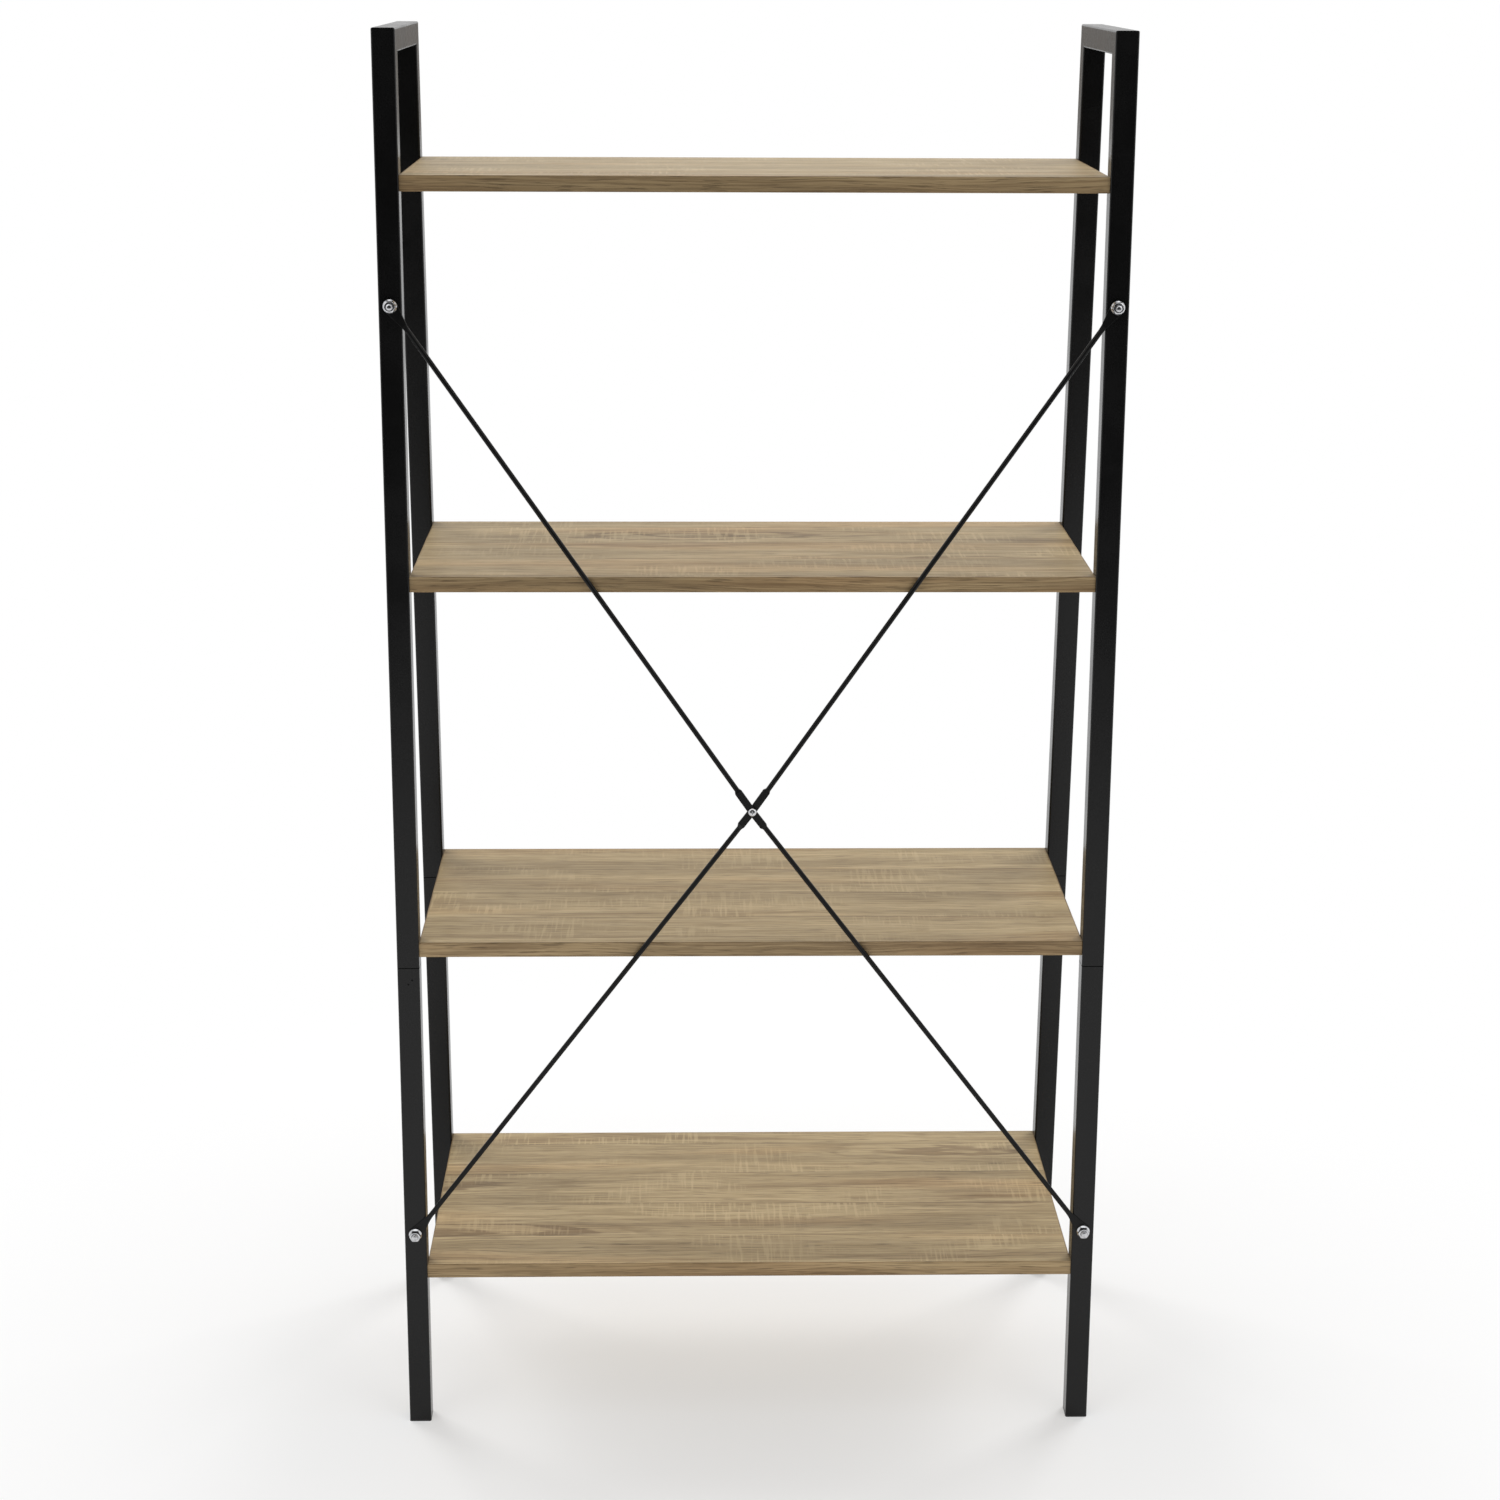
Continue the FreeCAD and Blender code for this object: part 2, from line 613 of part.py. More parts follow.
nodes = ["brace_rod_inner", "brace_rod_outer", "brace_centre_screw", "brace_centre_nut",
         "brace_bolts", "brace_nuts", "shelf_screws"]
for side_name in SIDES:
    nodes.append(f"{side_name}_top_rail")
    for post_name in ("rear", "front"):
        nodes += [f"{side_name}_upper_{post_name}_post", f"{side_name}_lower_{post_name}_post"]
        nodes += [f"{side_name}_{post_name}_sleeve", f"{side_name}_{post_name}_foot"]
for board_name in BOARDS:
    nodes += [f"{board_name}_shelf_board", f"{board_name}_edge_bands"]

for item in doc.Objects:
    if "Invalid" in item.State or "Error" in item.State:
        raise RuntimeError(f"{item.Label} did not build: {item.State}")
for node in nodes:
    shape = doc.getObject(node).Shape
    if shape.isNull() or not shape.isValid():
        raise RuntimeError(f"{node} has no valid shape")
    shape.exportStep(f"parts/{node}.step")
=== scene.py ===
import math

import bmesh
import bpy
from mathutils import Matrix, Vector


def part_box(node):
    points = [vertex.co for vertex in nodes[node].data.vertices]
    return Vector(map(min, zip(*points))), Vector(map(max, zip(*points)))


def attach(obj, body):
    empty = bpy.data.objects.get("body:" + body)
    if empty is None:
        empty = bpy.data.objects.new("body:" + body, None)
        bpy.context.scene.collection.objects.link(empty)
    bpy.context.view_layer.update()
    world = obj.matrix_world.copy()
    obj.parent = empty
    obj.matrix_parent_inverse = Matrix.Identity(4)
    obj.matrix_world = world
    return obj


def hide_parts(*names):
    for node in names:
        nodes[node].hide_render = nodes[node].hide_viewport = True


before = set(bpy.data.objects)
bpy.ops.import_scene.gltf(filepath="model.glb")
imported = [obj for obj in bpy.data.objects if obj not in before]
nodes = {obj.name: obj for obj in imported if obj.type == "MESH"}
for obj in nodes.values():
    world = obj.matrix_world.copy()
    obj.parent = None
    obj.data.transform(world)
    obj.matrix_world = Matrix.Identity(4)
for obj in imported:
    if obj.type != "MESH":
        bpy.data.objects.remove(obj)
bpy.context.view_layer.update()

# A ladder-style shelving unit seen from behind. Metres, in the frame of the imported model: +Z is up, the
# front is towards -Y, and the upright rear posts with the crossed brace are towards +Y.

MM = 0.001
BOARDS = ("top", "second", "third", "bottom")
WHITE = (1.0, 1.0, 1.0, 1.0)

# The oak print is laid in strips of this width on a board's faces. One strip covers an edge band.
FACE_LANE = 0.078
EDGE_LANE = 1.0

# Fasteners: points round a ring, the angle past which an edge stays sharp, the heights of two heads in
# millimetres, and the round flat on a hexagon's end as a share of its width across.
SEGMENTS = 72
CREASE = math.radians(35)
SCREW_HEAD = 3.5
DOME_HEAD = 2.6
HEXAGON_FLAT = 0.475


def srgb(red, green, blue):
    """A screen colour, 0 to 255, as the linear colour that a shader takes."""
    def linear(level):
        level = level / 255
        return level / 12.92 if level <= 0.04045 else ((level + 0.055) / 1.055) ** 2.4
    return (linear(red), linear(green), linear(blue), 1.0)


def add_object(name, data):
    """A new object, linked to the scene."""
    made = bpy.data.objects.new(name, data)
    bpy.context.scene.collection.objects.link(made)
    return made


# Materials

class Shader:
    """A material built from nodes, with one short call for each kind of node used here."""

    def __init__(self, name, metallic=0.0, specular=0.5):
        self.material = bpy.data.materials.new(name)
        self.material.use_nodes = True
        self.tree = self.material.node_tree
        self.surface = self.tree.nodes["Principled BSDF"]
        self.surface.inputs["Metallic"].default_value = metallic
        self.surface.inputs["Specular IOR Level"].default_value = specular
        self.place = self.node("ShaderNodeTexCoord").outputs["Object"]

    def node(self, kind, inputs=None, **settings):
        made = self.tree.nodes.new(kind)
        for key, setting in settings.items():
            setattr(made, key, setting)
        for key, source in (inputs or {}).items():
            self.feed(made.inputs[key], source)
        return made

    def feed(self, socket, source):
        if isinstance(source, bpy.types.NodeSocket):
            self.tree.links.new(source, socket)
        else:
            socket.default_value = source

    def math(self, operation, first, second=0.0):
        return self.node("ShaderNodeMath", {0: first, 1: second}, operation=operation).outputs[0]

    def scaled(self, vector, scale):
        return self.node("ShaderNodeVectorMath", {0: vector, 1: scale}, operation="MULTIPLY").outputs[0]

    def moved(self, vector, offset):
        return self.node("ShaderNodeVectorMath", {0: vector, 1: offset}, operation="ADD").outputs[0]

    def split(self, vector):
        return self.node("ShaderNodeSeparateXYZ", {0: vector}).outputs

    def joined(self, x, y, z=0.0):
        return self.node("ShaderNodeCombineXYZ", {0: x, 1: y, 2: z}).outputs[0]

    def noise(self, vector, scale=1.0, detail=2.0, roughness=0.5):
        inputs = {"Vector": vector, "Scale": scale, "Detail": detail, "Roughness": roughness}
        return self.node("ShaderNodeTexNoise", inputs).outputs[0]

    def step(self, level, low, high, start=0.0, end=1.0):
        """Changes smoothly from start at low to end at high."""
        inputs = {"Value": level, "From Min": low, "From Max": high, "To Min": start, "To Max": end}
        return self.node("ShaderNodeMapRange", inputs, interpolation_type="SMOOTHSTEP").outputs[0]

    def blend(self, factor, first, second, kind="MIX"):
        inputs = {0: factor, 6: first, 7: second}
        return self.node("ShaderNodeMix", inputs, data_type="RGBA", blend_type=kind).outputs[2]

    def finish(self, colour, roughness, height=None, relief=0.0, strength=1.0):
        self.feed(self.surface.inputs["Base Color"], colour)
        self.feed(self.surface.inputs["Roughness"], roughness)
        if height is not None:
            bump = self.node("ShaderNodeBump", {"Height": height, "Distance": relief, "Strength": strength})
            self.feed(self.surface.inputs["Normal"], bump.outputs[0])
        return self.material


def powder_coat(name, dark, light, low, high, specular):
    """Black paint with a fine orange peel and a faint cloudiness."""
    paint = Shader(name, specular=specular)
    cloud = paint.noise(paint.place, 14.0, 4.0, 0.6)
    peel = paint.noise(paint.place, 620.0, 2.0, 0.45)
    grit = paint.noise(paint.place, 2600.0, 1.0, 0.5)
    colour = paint.blend(paint.step(cloud, 0.3, 0.7), dark, light)
    mottle = paint.math("ADD", paint.math("MULTIPLY", cloud, 0.7), paint.math("MULTIPLY", grit, 0.3))
    roughness = paint.step(mottle, 0.3, 0.7, low, high)
    height = paint.math("ADD", peel, paint.math("MULTIPLY", grit, 0.25))
    return paint.finish(colour, roughness, height, 0.00005, 0.5)


def zinc(name, dark, light, low, high):
    """Bright zinc plate, with a fine grain and a little clouding."""
    metal = Shader(name, metallic=1.0)
    cloud = metal.noise(metal.place, 420.0, 3.0, 0.6)
    grain = metal.noise(metal.place, 5200.0, 2.0, 0.5)
    colour = metal.blend(metal.step(cloud, 0.3, 0.7), dark, light)
    mottle = metal.math("ADD", metal.math("MULTIPLY", cloud, 0.6), metal.math("MULTIPLY", grain, 0.4))
    roughness = metal.step(mottle, 0.3, 0.7, low, high)
    return metal.finish(colour, roughness, grain, 0.00002, 0.4)


def moulded(name, dark, light):
    """Black plastic with a fine spark-eroded texture."""
    plastic = Shader(name, specular=0.35)
    cloud = plastic.noise(plastic.place, 60.0, 3.0, 0.6)
    grain = plastic.noise(plastic.place, 1900.0, 2.0, 0.6)
    colour = plastic.blend(plastic.step(cloud, 0.3, 0.7), dark, light)
    return plastic.finish(colour, plastic.step(grain, 0.3, 0.7, 0.46, 0.62), grain, 0.00006, 0.6)


def oak_grain(wood, along, across, lane_width):
    """Factors, 0 to 1, for the layers of an oak print whose grain runs along the first coordinate."""
    sway = wood.noise(wood.scaled(wood.joined(along, across), (2.1, 6.0, 1.0)), 1.0, 2.0)
    swayed = wood.math("ADD", across, wood.math("MULTIPLY", sway, 0.012))
    lanes = wood.math("DIVIDE", swayed, lane_width)
    lane = wood.math("FLOOR", lanes)
    seam = wood.math("ABSOLUTE", wood.math("SUBTRACT", wood.math("FRACT", lanes), 0.5))
    along = wood.math("ADD", along, wood.math("MULTIPLY", lane, 3.71))
    loose = wood.joined(along, across, lane)
    wander = wood.noise(wood.scaled(loose, (1.7, 8.0, 1.0)), 1.0, 2.0)
    ripple = wood.noise(wood.scaled(loose, (9.0, 34.0, 1.0)), 1.0, 2.0)
    bend = wood.math("ADD", wood.math("MULTIPLY", wander, 0.042), wood.math("MULTIPLY", ripple, 0.005))
    grain = wood.joined(along, wood.math("ADD", across, bend), lane)

    # Streaks and fibres, from the widest to the finest
    broad = wood.noise(wood.scaled(grain, (1.8, 40.0, 5.0)), 1.0, 2.0, 0.5)
    middle = wood.noise(wood.scaled(grain, (2.8, 230.0, 5.0)), 1.0, 4.0, 0.68)
    fine = wood.noise(wood.scaled(grain, (9.0, 600.0, 5.0)), 1.0, 3.0, 0.68)
    pores = wood.noise(wood.scaled(grain, (30.0, 800.0, 5.0)), 1.0, 2.0, 0.5)

    # Cathedrals: growth rings round the middle of some cells
    cell_place = wood.scaled(grain, (1.9, 11.0, 1.0))
    cells = wood.node("ShaderNodeTexVoronoi", {"Vector": cell_place, "Scale": 1.0})
    swirl = wood.noise(wood.scaled(grain, (7.0, 42.0, 5.0)), 1.0, 3.0, 0.6)
    reach = wood.math("ADD", cells.outputs["Distance"], wood.math("MULTIPLY", swirl, 0.3))
    rings = wood.math("SINE", wood.math("MULTIPLY", reach, 52.0))
    chosen = wood.step(wood.split(cells.outputs["Color"])[0], 0.4, 0.5)
    inside = wood.math("MULTIPLY", chosen, wood.step(reach, 0.34, 0.62, 1.0, 0.0))

    # Saw marks across the grain, in patches, and areas of a warmer colour
    saw = wood.noise(wood.scaled(loose, (300.0, 17.0, 1.0)), 1.0, 1.0)
    patch = wood.noise(wood.scaled(loose, (7.0, 13.0, 1.0)), 1.0, 1.0)
    flush = wood.noise(wood.scaled(grain, (2.0, 18.0, 3.0)), 1.0, 1.0)
    return {
        "tone": wood.noise(wood.scaled(grain, (1.3, 24.0, 11.0)), 1.0, 2.0),
        "flush": wood.step(flush, 0.5, 0.7),
        "seam": wood.math("MULTIPLY", wood.step(seam, 0.465, 0.5), wood.step(middle, 0.35, 0.6)),
        "broad": wood.math("MULTIPLY", wood.step(broad, 0.56, 0.72), wood.step(fine, 0.3, 0.66, 1.0, 0.35)),
        "middle": wood.step(middle, 0.32, 0.7),
        "fine": wood.step(fine, 0.35, 0.62),
        "pores": wood.step(pores, 0.56, 0.66),
        "rings": wood.math("MULTIPLY", inside, wood.step(rings, -0.1, 0.9)),
        "heart": wood.math("MULTIPLY", chosen, wood.step(reach, 0.17, 0.24, 1.0, 0.0)),
        "saw": wood.math("MULTIPLY", wood.step(saw, 0.5, 0.64), wood.step(patch, 0.48, 0.63)),
    }


def oak(name, offset, pale, mid, dark, deep, on_edge=False):
    """Printed oak: long streaks, fine fibres and pores, a few cathedrals, and pale saw marks across."""
    shade, light, blush = (0.8, 0.77, 0.73, 1.0), (1.12, 1.1, 1.07, 1.0), (1.03, 0.94, 0.87, 1.0)
    wood = Shader(name, specular=0.3)
    x, y, z = wood.split(wood.moved(wood.place, offset))[:3]
    if on_edge:
        layers = oak_grain(wood, wood.math("ADD", x, y), z, EDGE_LANE)
    else:
        layers = oak_grain(wood, x, y, FACE_LANE)
    figure = (("broad", 0.85, dark), ("rings", 0.8, dark), ("heart", 0.4, deep), ("seam", 0.55, deep))
    colour = wood.blend(layers["middle"], pale, mid)
    for layer, strength, tone in figure:
        colour = wood.blend(wood.math("MULTIPLY", layers[layer], strength), colour, tone)
    colour = wood.blend(wood.step(layers["fine"], 0.0, 1.0, 0.5, 0.0), colour, dark)
    colour = wood.blend(wood.math("MULTIPLY", layers["pores"], 0.5), colour, deep)
    if not on_edge:
        colour = wood.blend(wood.math("MULTIPLY", layers["saw"], 0.54), colour, pale)
    tint = wood.blend(wood.step(layers["tone"], 0.34, 0.64), shade, light)
    colour = wood.blend(1.0, colour, tint, "MULTIPLY")
    flushed = wood.blend(1.0, colour, blush, "MULTIPLY")
    colour = wood.blend(wood.math("MULTIPLY", layers["flush"], 0.8), colour, flushed)
    height = wood.math("SUBTRACT", wood.math("MULTIPLY", layers["fine"], 0.5), layers["pores"])
    if not on_edge:
        height = wood.math("ADD", height, wood.math("MULTIPLY", layers["saw"], 0.4))
    return wood.finish(colour, wood.step(layers["fine"], 0.0, 1.0, 0.55, 0.45), height, 0.00012, 0.5)


paints = {
    "frame_paint": powder_coat("black_powder_coat", srgb(9, 9, 9), srgb(13, 13, 13), 0.22, 0.3, 0.28),
    "rod_paint": powder_coat("black_rod_paint", srgb(8, 8, 8), srgb(12, 12, 12), 0.26, 0.36, 0.2),
    "sleeve_steel": powder_coat("black_sleeve_coat", srgb(6, 6, 6), srgb(9, 9, 9), 0.55, 0.7, 0.1),
    "foot_plastic": moulded("black_plastic", srgb(17, 17, 17), srgb(24, 24, 24)),
    "zinc_steel": zinc("bright_zinc", (0.5, 0.51, 0.53, 1.0), (0.66, 0.66, 0.67, 1.0), 0.14, 0.26),
}
TOP_TONES = (srgb(190, 172, 137), srgb(172, 154, 119), srgb(121, 101, 74), srgb(82, 65, 47))
EDGE_TONES = (srgb(156, 137, 104), srgb(132, 112, 82), srgb(94, 76, 53), srgb(58, 45, 31))

# Each board shows another stretch of the print
for number, board in enumerate(BOARDS):
    shift = (1.37 * number + 0.4, 0.77 * number, 0.0)
    laminate = oak(f"oak_laminate_{board}", shift, *TOP_TONES)
    edging = oak(f"oak_edging_{board}", (*shift[:2], 0.31 * number), *EDGE_TONES, on_edge=True)
    nodes[f"{board}_shelf_board"].material_slots[0].material = laminate
    nodes[f"{board}_edge_bands"].material_slots[0].material = edging

for node in nodes.values():
    slot = node.material_slots[0]
    if slot.material.name in paints:
        slot.material = paints[slot.material.name]


# Fasteners, turned about their own axis with the bearing face at height 0, in millimetres

def solids(node):
    """The lowest and highest corner of each solid of a CAD node, in a fixed order."""
    mesh = bmesh.new()
    mesh.from_mesh(nodes[node].data)
    bmesh.ops.remove_doubles(mesh, verts=mesh.verts, dist=1e-6)
    left = set(mesh.verts)
    boxes = []
    while left:
        queue = [left.pop()]
        corners = []
        while queue:
            vertex = queue.pop()
            corners.append(vertex.co.copy())
            for edge in vertex.link_edges:
                other = edge.other_vert(vertex)
                if other in left:
                    left.remove(other)
                    queue.append(other)
        boxes.append((Vector(map(min, *corners)), Vector(map(max, *corners))))
    mesh.free()
    return sorted(boxes, key=lambda box: tuple(box[0]))


def angles():
    return [2 * math.pi * step / SEGMENTS for step in range(SEGMENTS)]


def circle(radius, height):
    return [(radius * math.cos(a), radius * math.sin(a), height) for a in angles()]


def hexagon_reach(across, angle):
    """From the axis to the side of a hexagon with slightly worn corners."""
    side = math.radians(60)
    worn_corner = across / 2 * 1.125
    return min(across / 2 / math.cos(angle % side - side / 2), worn_corner)


def hexagon(across, height, swell=0.0):
    ring = []
    for a in angles():
        reach = hexagon_reach(across, a) + swell
        ring.append((reach * math.cos(a), reach * math.sin(a), height))
    return ring


def chamfered_top(across, top, down):
    """A hexagon's end with its corners cut by a 30 degree cone. Down is -1 for a lower end."""
    flat = across * HEXAGON_FLAT
    edge = []
    for a in angles():
        reach = hexagon_reach(across, a)
        drop = max(0.0, reach - flat) * math.tan(math.radians(30))
        edge.append((reach * math.cos(a), reach * math.sin(a), top - down * drop))
    return [edge, circle(flat, top)]


def thread(radius, pitch, low, high, steps):
    """Rings of a screw thread that fades out at its upper end."""
    depth, last_share = 0.3, 0.15
    rings = []
    for step in range(steps + 1):
        height = low + (high - low) * step / steps
        fade = min(1.0, (high - height) / pitch + last_share)
        ring = []
        for a in angles():
            turn = (height / pitch - a / (2 * math.pi)) % 1.0
            reach = radius - depth * abs(2 * turn - 1) * fade
            ring.append((reach * math.cos(a), reach * math.sin(a), height))
        rings.append(ring)
    return rings


def dome(radius, low, high, steps):
    """Rings of a rounded end that closes to a small flat."""
    rings = []
    for step in range(steps):
        lean = math.radians(90) * step / steps
        rings.append(circle(radius * math.cos(lean), low + (high - low) * math.sin(lean)))
    rings.append(circle(radius * 0.06, high))
    return rings


def bore(radius, height, bevel):
    """Rings down through the hole of a nut, with a bevel at both ends."""
    rings = [circle(radius + bevel, height), circle(radius, height - bevel)]
    rings += [circle(radius, bevel), circle(radius + bevel, 0.0)]
    return rings


def add_rings(mesh, rings, matrix, hollow=False):
    """A closed solid through rings of points: capped at both ends, or joined end to end if it is hollow."""
    loops = [[mesh.verts.new(matrix @ (Vector(point) * MM)) for point in ring] for ring in rings]
    pairs = list(zip(loops, loops[1:]))
    if hollow:
        pairs.append((loops[-1], loops[0]))
    else:
        mesh.faces.new(loops[0][::-1])
        mesh.faces.new(loops[-1])
    for lower, upper in pairs:
        for step in range(len(lower)):
            following = (step + 1) % len(lower)
            mesh.faces.new((lower[step], lower[following], upper[following], upper[step]))


def add_piece(name, mesh, material, replaced=None):
    """A piece on the unit's one body, which takes the place of a CAD node if one is named."""
    bmesh.ops.recalc_face_normals(mesh, faces=mesh.faces)
    for edge in mesh.edges:
        if len(edge.link_faces) == 2 and edge.calc_face_angle(0.0) > CREASE:
            edge.smooth = False
    for face in mesh.faces:
        face.smooth = True
    data = bpy.data.meshes.new(name)
    mesh.to_mesh(data)
    mesh.free()
    data.materials.append(material)
    piece = add_object(name, data)
    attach(piece, "root")
    if replaced:
        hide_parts(replaced)


def facing(direction, origin):
    """Turns a fastener's axis to a direction, and puts its bearing face at a point."""
    turn = Vector(direction).to_track_quat("Z", "Y").to_matrix().to_4x4()
    return Matrix.Translation(origin) @ turn


def centred(low, high, y):
    """The point at a given Y, halfway across and halfway up a box."""
    return Vector(((low.x + high.x) / 2, y, (low.z + high.z) / 2))


def nut_rings():
    height, across, flange, hole, bevel = 6.0, 10.0, 6.7, 3.05, 0.5
    rings = [circle(flange - 0.3, 0.0), circle(flange, 0.3)]
    rings += [circle(flange, 0.75), circle(flange - 0.2, 1.05)]
    rings += [hexagon(across, 2.05, 0.35), hexagon(across, 2.45, 0.08), hexagon(across, 2.75)]
    rings += chamfered_top(across, height, 1)
    rings += bore(hole, height, bevel)
    return rings


def bolt_rings():
    seat, head, across, shank, end = -23.5, 4.0, 10.0, 2.95, 9.0
    pitch, thread_low, thread_high = 1.0, 3.5, 8.15
    flat = across * HEXAGON_FLAT
    rings = chamfered_top(across, seat - head, -1)[::-1]
    rings += [hexagon(across, seat - 0.35), circle(flat, seat - 0.3), circle(flat, seat)]
    rings += [circle(shank, seat), circle(shank, thread_low - 0.1)]
    rings += thread(shank, pitch, thread_low, thread_high, 40)
    rings += dome(2.5, thread_high + 0.2, end, 6)
    return rings


def shelf_screw_rings():
    head, across, shank, length, point = SCREW_HEAD, 8.0, 2.5, 36.0, 5.0
    washer = across * 0.49
    rings = [circle(0.3, -length), circle(1.5, point / 2 - length)]
    rings += [circle(shank, point - length), circle(shank, 0.0)]
    rings += [circle(washer, 0.0), circle(washer, 0.3), hexagon(across, 0.35)]
    rings += chamfered_top(across, head, 1)
    rings += [circle(across * 0.36, head), circle(across * 0.3, head - 0.35), circle(0.5, head - 0.4)]
    return rings


steel = paints["zinc_steel"]
nut_mesh = bmesh.new()
bolt_mesh = bmesh.new()
for low, high in solids("brace_nuts"):
    spot = centred(low, high, low.y)
    add_rings(nut_mesh, nut_rings(), facing((0, 1, 0), spot), hollow=True)
    add_rings(bolt_mesh, bolt_rings(), facing((0, 1, 0), spot))
add_piece("flange_nuts", nut_mesh, steel, "brace_nuts")
add_piece("hexagon_bolts", bolt_mesh, steel, "brace_bolts")

screw_mesh = bmesh.new()
for low, high in solids("shelf_screws"):
    side = 1 if low.x > 0 else -1
    bearing = (high.x if side > 0 else low.x) - side * SCREW_HEAD * MM
    spot = Vector((bearing, (low.y + high.y) / 2, (low.z + high.z) / 2))
    add_rings(screw_mesh, shelf_screw_rings(), facing((side, 0, 0), spot))
add_piece("board_screws", screw_mesh, steel, "shelf_screws")


def cross_recess():
    """A tapered cross, to cut the drive of a screw head."""
    span, width, depth, middle, narrow = 4.4, 0.95, 2.4, 2.2, 0.45
    mesh = bmesh.new()
    for turn in (0, 90):
        arm = bmesh.ops.create_cube(mesh, size=1.0)["verts"]
        for vertex in arm:
            x, y, z = vertex.co
            taper = 1.0 if z > 0 else narrow
            vertex.co = Vector((x * span * taper, y * width * taper, z * depth + middle)) * MM
        bmesh.ops.rotate(mesh, verts=arm, matrix=Matrix.Rotation(math.radians(turn), 3, "Z"))
    return mesh


def cut_away(mesh, cutter):
    """What is left of a closed mesh when another is taken from it."""
    body = add_object("body", bpy.data.meshes.new("body"))
    tool = add_object("tool", bpy.data.meshes.new("tool"))
    for solid, source in ((body, mesh), (tool, cutter)):
        source.to_mesh(solid.data)
        source.free()
    cut = body.modifiers.new("cut", "BOOLEAN")
    cut.operation = "DIFFERENCE"
    cut.solver = "EXACT"
    cut.use_self = True
    cut.object = tool
    graph = bpy.context.evaluated_depsgraph_get()
    result = bmesh.new()
    result.from_mesh(bpy.data.meshes.new_from_object(body.evaluated_get(graph)))
    for spare in (body, tool):
        bpy.data.objects.remove(spare)
    return result


def domed_screw_rings():
    head, radius, shank, length = DOME_HEAD, 4.2, 1.95, 9.4
    pitch, thread_high = 0.7, -5.0
    rings = [circle(1.5, -length), circle(shank, 0.5 - length)]
    rings += thread(shank, pitch, 0.6 - length, thread_high, 30)
    rings += [circle(shank, thread_high + 0.1), circle(shank, 0.0)]
    rings += [circle(radius - 0.2, 0.0), circle(radius, 0.2)]
    rings += dome(radius, 0.5, head, 9)
    return rings


def small_nut_rings():
    height, across, hole, bevel = 3.2, 7.0, 2.05, 0.35
    rings = chamfered_top(across, 0.0, -1)[::-1] + chamfered_top(across, height, 1)
    rings += bore(hole, height, bevel)
    return rings


low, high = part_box("brace_centre_screw")
spot = centred(low, high, high.y - DOME_HEAD * MM)
plain_screw = bmesh.new()
add_rings(plain_screw, domed_screw_rings(), Matrix.Identity(4))
bmesh.ops.recalc_face_normals(plain_screw, faces=plain_screw.faces)
centre_screw = cut_away(plain_screw, cross_recess())
centre_screw.transform(facing((0, 1, 0), spot))
add_piece("domed_centre_screw", centre_screw, steel, "brace_centre_screw")

low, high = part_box("brace_centre_nut")
centre_nut = bmesh.new()
add_rings(centre_nut, small_nut_rings(), facing((0, 1, 0), centred(low, high, low.y)), hollow=True)
add_piece("small_centre_nut", centre_nut, steel, "brace_centre_nut")

# Two small beads on one rear post, just under its seam, in the darker, matt sleeve coat, so that they show
# as dark spots
low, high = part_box("right_lower_rear_post")
rear_face = high.y
mark_radius, sunk, proud = 0.95, 0.2, 0.2
marks = bmesh.new()
for inward, down in ((10.7, 16.5), (14.5, 12.1)):
    spot = Vector((high.x - inward * MM, rear_face, high.z - down * MM))
    bead = [circle(mark_radius, -sunk), *dome(mark_radius, 0.02, proud, 5)]
    add_rings(marks, bead, facing((0, 1, 0), spot))
add_piece("dark_spot_beads", marks, paints["sleeve_steel"])


# The floor, light and camera

def make_floor():
    """A pale floor that keeps the unit's shadow and fades to plain white around it."""
    fade_start, fade_end, least_glow = 0.45, 1.2, 0.4
    mesh = bmesh.new()
    bmesh.ops.create_circle(mesh, cap_ends=True, radius=40.0, segments=96)
    data = bpy.data.meshes.new("floor")
    mesh.to_mesh(data)
    mesh.free()
    floor = add_object("floor", data)
    ground = Shader("studio_floor", specular=0.0)
    pale = ground.blend(ground.noise(ground.place, 0.7), (0.86, 0.86, 0.86, 1), (0.88, 0.88, 0.88, 1))
    data.materials.append(ground.finish(pale, 0.9))
    distance = ground.node("ShaderNodeVectorMath", {0: ground.place}, operation="LENGTH").outputs["Value"]
    glow = ground.node("ShaderNodeEmission", {"Color": WHITE, "Strength": 1.0}).outputs[0]
    share = ground.step(distance, fade_start, fade_end, least_glow, 1.0)
    mixed = ground.node("ShaderNodeMixShader", {0: share, 1: ground.surface.outputs[0], 2: glow})
    ground.feed(ground.tree.nodes["Material Output"].inputs["Surface"], mixed.outputs[0])


def make_flag(name, place, half_width, half_height, dark, light):
    """A cloth across the Y axis, out of the camera's sight, for the posts and rails to reflect."""
    mesh = bmesh.new()
    bmesh.ops.create_grid(mesh, x_segments=1, y_segments=1, size=1.0)
    data = bpy.data.meshes.new(name)
    mesh.to_mesh(data)
    mesh.free()
    flag = add_object(name, data)
    upright = Matrix.Rotation(math.radians(90), 4, "X") @ Matrix.Diagonal((half_width, half_height, 1, 1))
    flag.matrix_world = Matrix.Translation(place) @ upright
    flag.visible_camera = False
    flag.visible_shadow = False
    cloth = Shader(f"{name}_cloth", specular=0.0)
    tone = cloth.blend(cloth.noise(cloth.place, 2.0), dark, light)
    data.materials.append(cloth.finish(tone, 1.0))


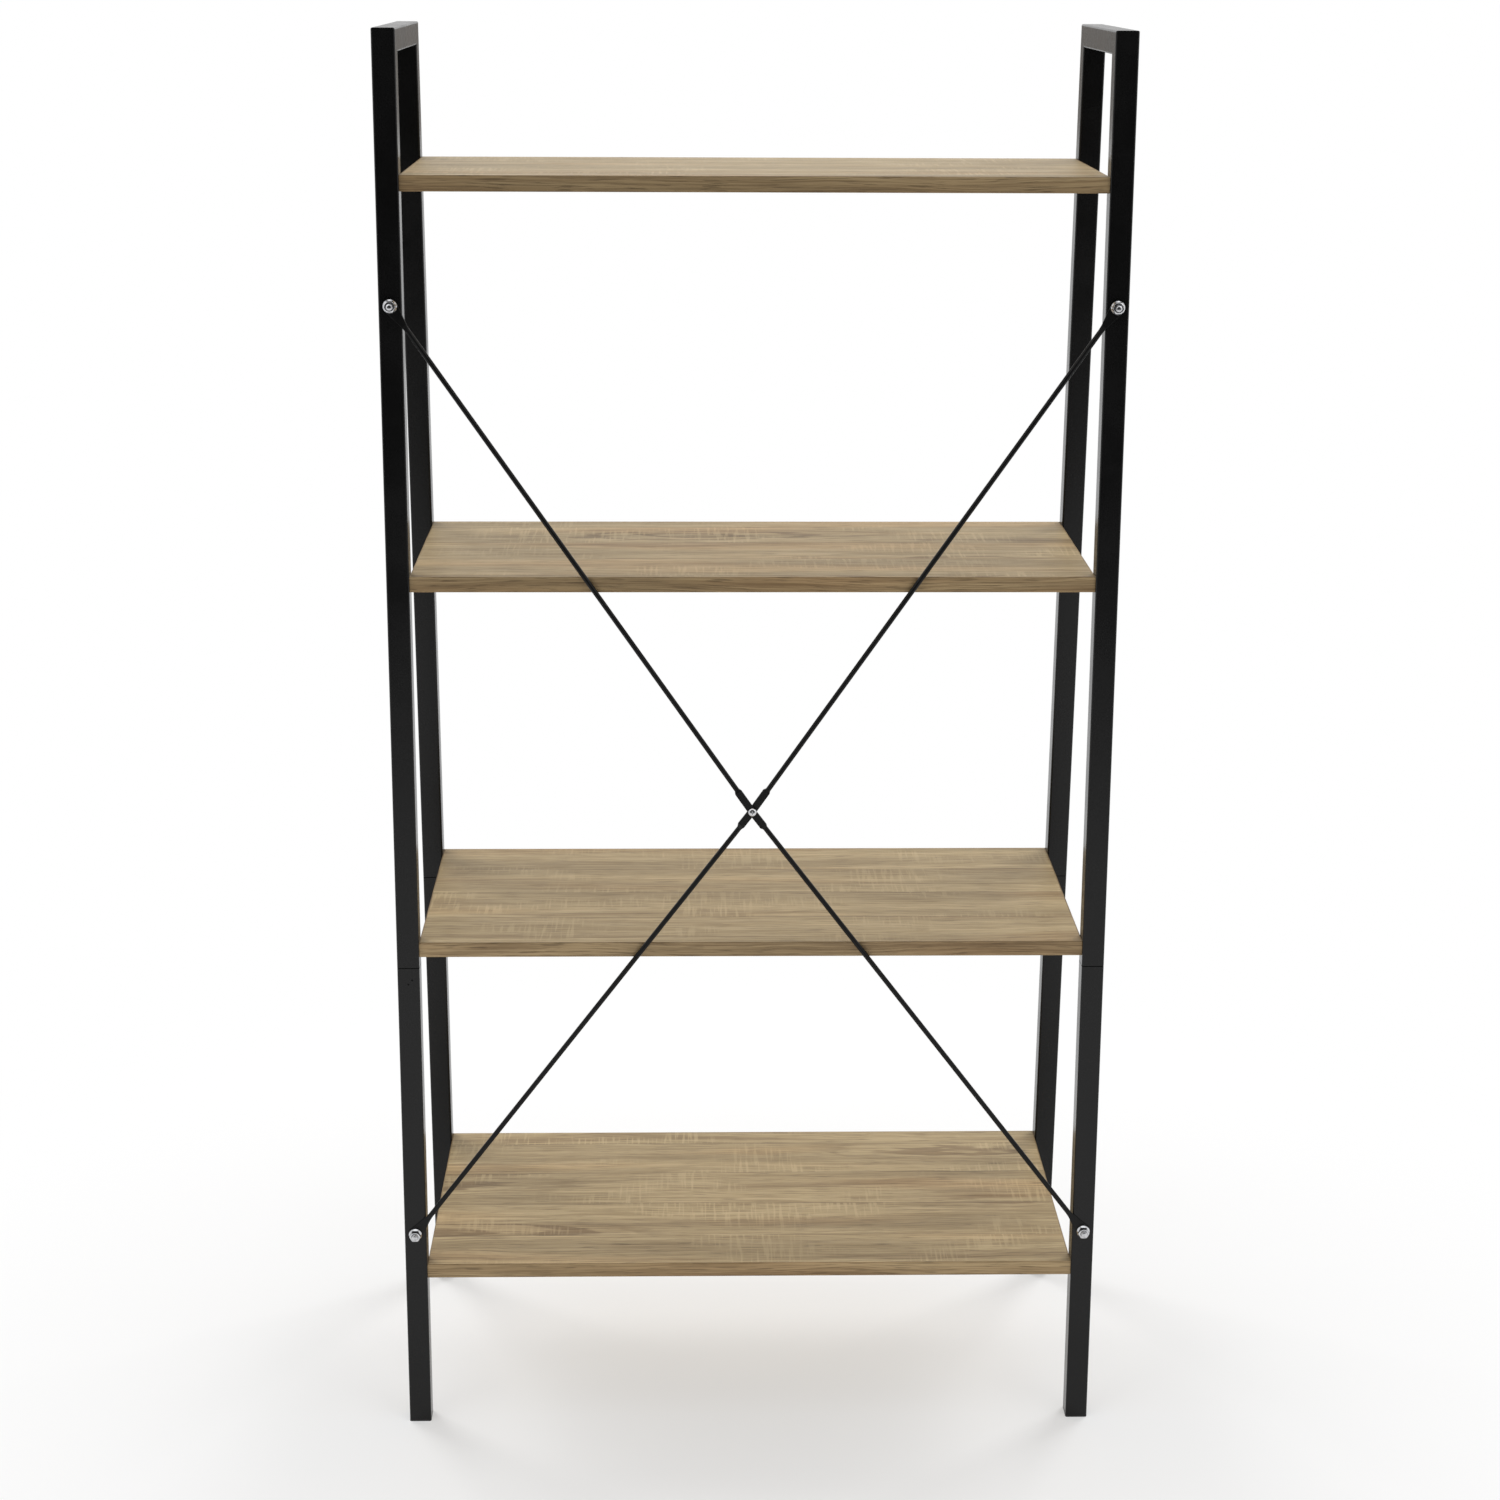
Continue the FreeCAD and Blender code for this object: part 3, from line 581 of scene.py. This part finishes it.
def make_world():
    """White where it is seen or reflected, and dimmer where it lights the unit."""
    shown, lighting = 1.0, 0.55
    world = bpy.data.worlds.new("studio")
    bpy.context.scene.world = world
    world.use_nodes = True
    tree = world.node_tree
    backdrop = tree.nodes["Background"]
    backdrop.inputs["Color"].default_value = WHITE
    path = tree.nodes.new("ShaderNodeLightPath")
    seen = path.outputs["Is Camera Ray"]
    for kind in ("Is Glossy Ray", "Is Transmission Ray"):
        either = tree.nodes.new("ShaderNodeMath")
        either.operation = "MAXIMUM"
        tree.links.new(seen, either.inputs[0])
        tree.links.new(path.outputs[kind], either.inputs[1])
        seen = either.outputs[0]
    level = tree.nodes.new("ShaderNodeMapRange")
    level.inputs["To Min"].default_value = lighting
    level.inputs["To Max"].default_value = shown
    tree.links.new(seen, level.inputs["Value"])
    tree.links.new(level.outputs[0], backdrop.inputs["Strength"])


def add_softbox(name, place, target, width, height, power, reflected=True):
    """A rectangular lamp, out of the camera's sight, that may also be kept out of reflections."""
    light = bpy.data.lights.new(name, "AREA")
    light.shape = "RECTANGLE"
    light.size = width
    light.size_y = height
    light.energy = power
    lamp = add_object(name, light)
    lamp.visible_camera = False
    lamp.visible_glossy = reflected
    lamp.location = place
    lamp.rotation_euler = (Vector(target) - Vector(place)).to_track_quat("-Z", "Y").to_euler()


def make_lamps():
    """Two weak lamps behind the unit, two strong ones in front, one overhead and a low fill behind."""
    aim = (0, 0, 0.7)
    for name, side in (("key_left", 1), ("key_right", -1)):
        add_softbox(name, (side * 2.2, 2.6, 2.7), aim, 1.8, 1.8, 12)
    for name, side in (("front_left", -1), ("front_right", 1)):
        add_softbox(name, (side * 2.4, -2.6, 2.3), aim, 1.8, 1.8, 72, reflected=False)
    add_softbox("overhead", (0, 0.2, 3.4), aim, 2.6, 2.2, 12)
    add_softbox("low_fill", (0, 1.3, 0.22), (0, 0.17, 0.22), 1.8, 0.3, 8, reflected=False)


def make_camera():
    """Near the photograph's view: behind the unit, a little over its top, looking down."""
    aside, distance, height = 0.0631, 2.65, 1.47
    yaw, pitch, roll = -0.02276, 0.25807, 0.0049
    focal, frame_width, sensor, shift = 2840.0, 1500.0, 36.0, -0.034
    eye = Vector((aside, rear_face + distance, height))
    level = Vector((math.sin(yaw), -math.cos(yaw), 0.0))
    right = Vector((-math.cos(yaw), -math.sin(yaw), 0.0))
    ahead = level * math.cos(pitch) - Vector((0, 0, math.sin(pitch)))
    up = level * math.sin(pitch) + Vector((0, 0, math.cos(pitch)))
    across = right * math.cos(roll) + up * math.sin(roll)
    above = up * math.cos(roll) - right * math.sin(roll)
    data = bpy.data.cameras.new("camera")
    data.sensor_width = sensor
    data.lens = sensor * focal / frame_width
    data.shift_y = shift
    camera = add_object("camera", data)
    camera.matrix_world = Matrix.Translation(eye) @ Matrix((across, above, -ahead)).transposed().to_4x4()
    bpy.context.scene.camera = camera


make_floor()
make_flag("dark_flag", (0, 2.9, 1.6), 2.4, 1.6, (0.02, 0.02, 0.02, 1), (0.03, 0.03, 0.03, 1))
make_flag("grey_flag", (0, -2.9, 1.26), 0.9, 0.15, (0.35, 0.32, 0.29, 1), (0.39, 0.355, 0.32, 1))
make_world()
make_lamps()
make_camera()
bpy.context.scene.view_settings.view_transform = "Standard"
